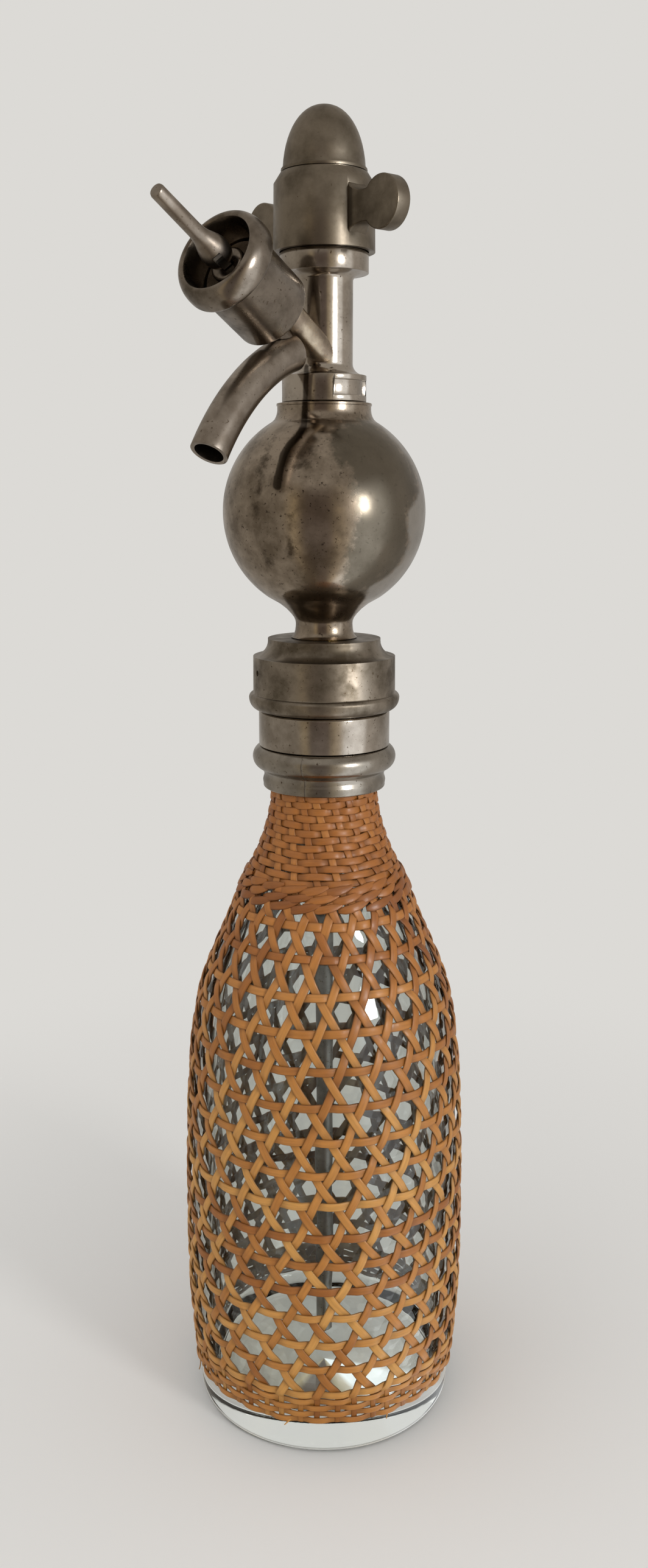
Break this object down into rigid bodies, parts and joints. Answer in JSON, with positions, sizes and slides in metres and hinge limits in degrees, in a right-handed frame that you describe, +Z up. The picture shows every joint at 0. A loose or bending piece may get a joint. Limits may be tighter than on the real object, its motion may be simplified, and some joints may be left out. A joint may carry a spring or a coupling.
{
  "type": "soda siphon",
  "caption": "Cane-covered glass soda siphon with a screw-on nickel head: hollow gas ball, bulb holder with domed wing nut, and inclined tap with tilting lever and curved spout.",
  "frame": {"origin": "on the bottle's axis, on the surface that its flat base stands on", "axes": "+Z up along the bottle's axis; the tap, its lever and its spout point along -Y"},
  "size_m": [0.0958, 0.1217, 0.4201],
  "materials": {
    "clear_glass": "thick clear glass, slightly wavy",
    "amber_cane": "varnished amber-brown split cane",
    "polished_nickel": "worn polished nickel plate",
    "tarnished_nickel": "mottled, tarnished nickel plate",
    "dull_nickel": "dull dark grey-brown nickel plate",
    "bulb_steel": "drawn steel",
    "tinned_tube": "dull tinned tube",
    "turned_brass": "turned brass",
    "grey_rubber": "matte rubber",
    "greased_leather": "greased leather washer"
  },
  "bodies": {
    "bottle": {"glass_bottle": "clear_glass", "cane_cover": "amber_cane", "neck_collar_left": "polished_nickel", "neck_collar_right": "polished_nickel", "neck_ring": "polished_nickel"},
    "gasket": {"neck_gasket": "grey_rubber"},
    "head": {"head_seat": "turned_brass", "coupling_cap": "tarnished_nickel", "gas_ball": "tarnished_nickel", "head_column": "polished_nickel", "dip_tube": "tinned_tube", "riser_tube": "tinned_tube", "piercer_plug": "turned_brass", "piercing_pin": "bulb_steel", "bulb_washer": "grey_rubber", "gas_bulb": "bulb_steel", "valve_housing": "tarnished_nickel", "tap_branch": "tarnished_nickel", "outlet_nipple": "tarnished_nickel", "spout": "polished_nickel", "valve_spring": "bulb_steel", "gland_packing": "greased_leather", "gland_nut": "tarnished_nickel"},
    "dome": {"bulb_dome": "dull_nickel"},
    "nut": {"winged_nut": "dull_nickel"},
    "stem": {"valve_stem": "bulb_steel", "valve_plunger": "turned_brass", "valve_disc": "grey_rubber", "lever_pin": "bulb_steel"},
    "lever": {"lever": "tarnished_nickel"}
  },
  "joints": [
    {"name": "head_lift", "type": "slide", "parent": "bottle", "child": "gasket", "axis": [0, 0, 1], "range_m": [0, 0.0101]},
    {"name": "head_turn", "type": "hinge", "parent": "gasket", "child": "head", "pos_m": [0, 0, 0.2496], "axis": [0, 0, 1], "range_deg": [0, 1800]},
    {"name": "dome_lift", "type": "slide", "parent": "head", "child": "dome", "axis": [0, 0, 1], "range_m": [0, 0.00605]},
    {"name": "nut_turn", "type": "hinge", "parent": "dome", "child": "nut", "pos_m": [0, 0, 0.3988], "axis": [0, 0, 1], "range_deg": [0, 1440]},
    {"name": "stem_lift", "type": "slide", "parent": "head", "child": "stem", "axis": [0, -0.8878, 0.4602], "range_m": [0, 0.00105], "deforming": ["valve_spring"]},
    {"name": "lever_tilt", "type": "hinge", "parent": "stem", "child": "lever", "pos_m": [0, -0.04856, 0.37257], "axis": [0.7431, 0.3079, 0.5941], "range_deg": [0, 30], "stiffness_Nm_per_rad": 0.0072, "springref_deg": -90.53}
  ],
  "couplings": [
    {"joint": "head_lift", "follows": "head_turn", "m_per_rad": 0.00031831},
    {"joint": "dome_lift", "follows": "nut_turn", "m_per_rad": 0.00023873},
    {"joint": "stem_lift", "follows": "lever_tilt", "m_per_rad": 0.0019}
  ]
}
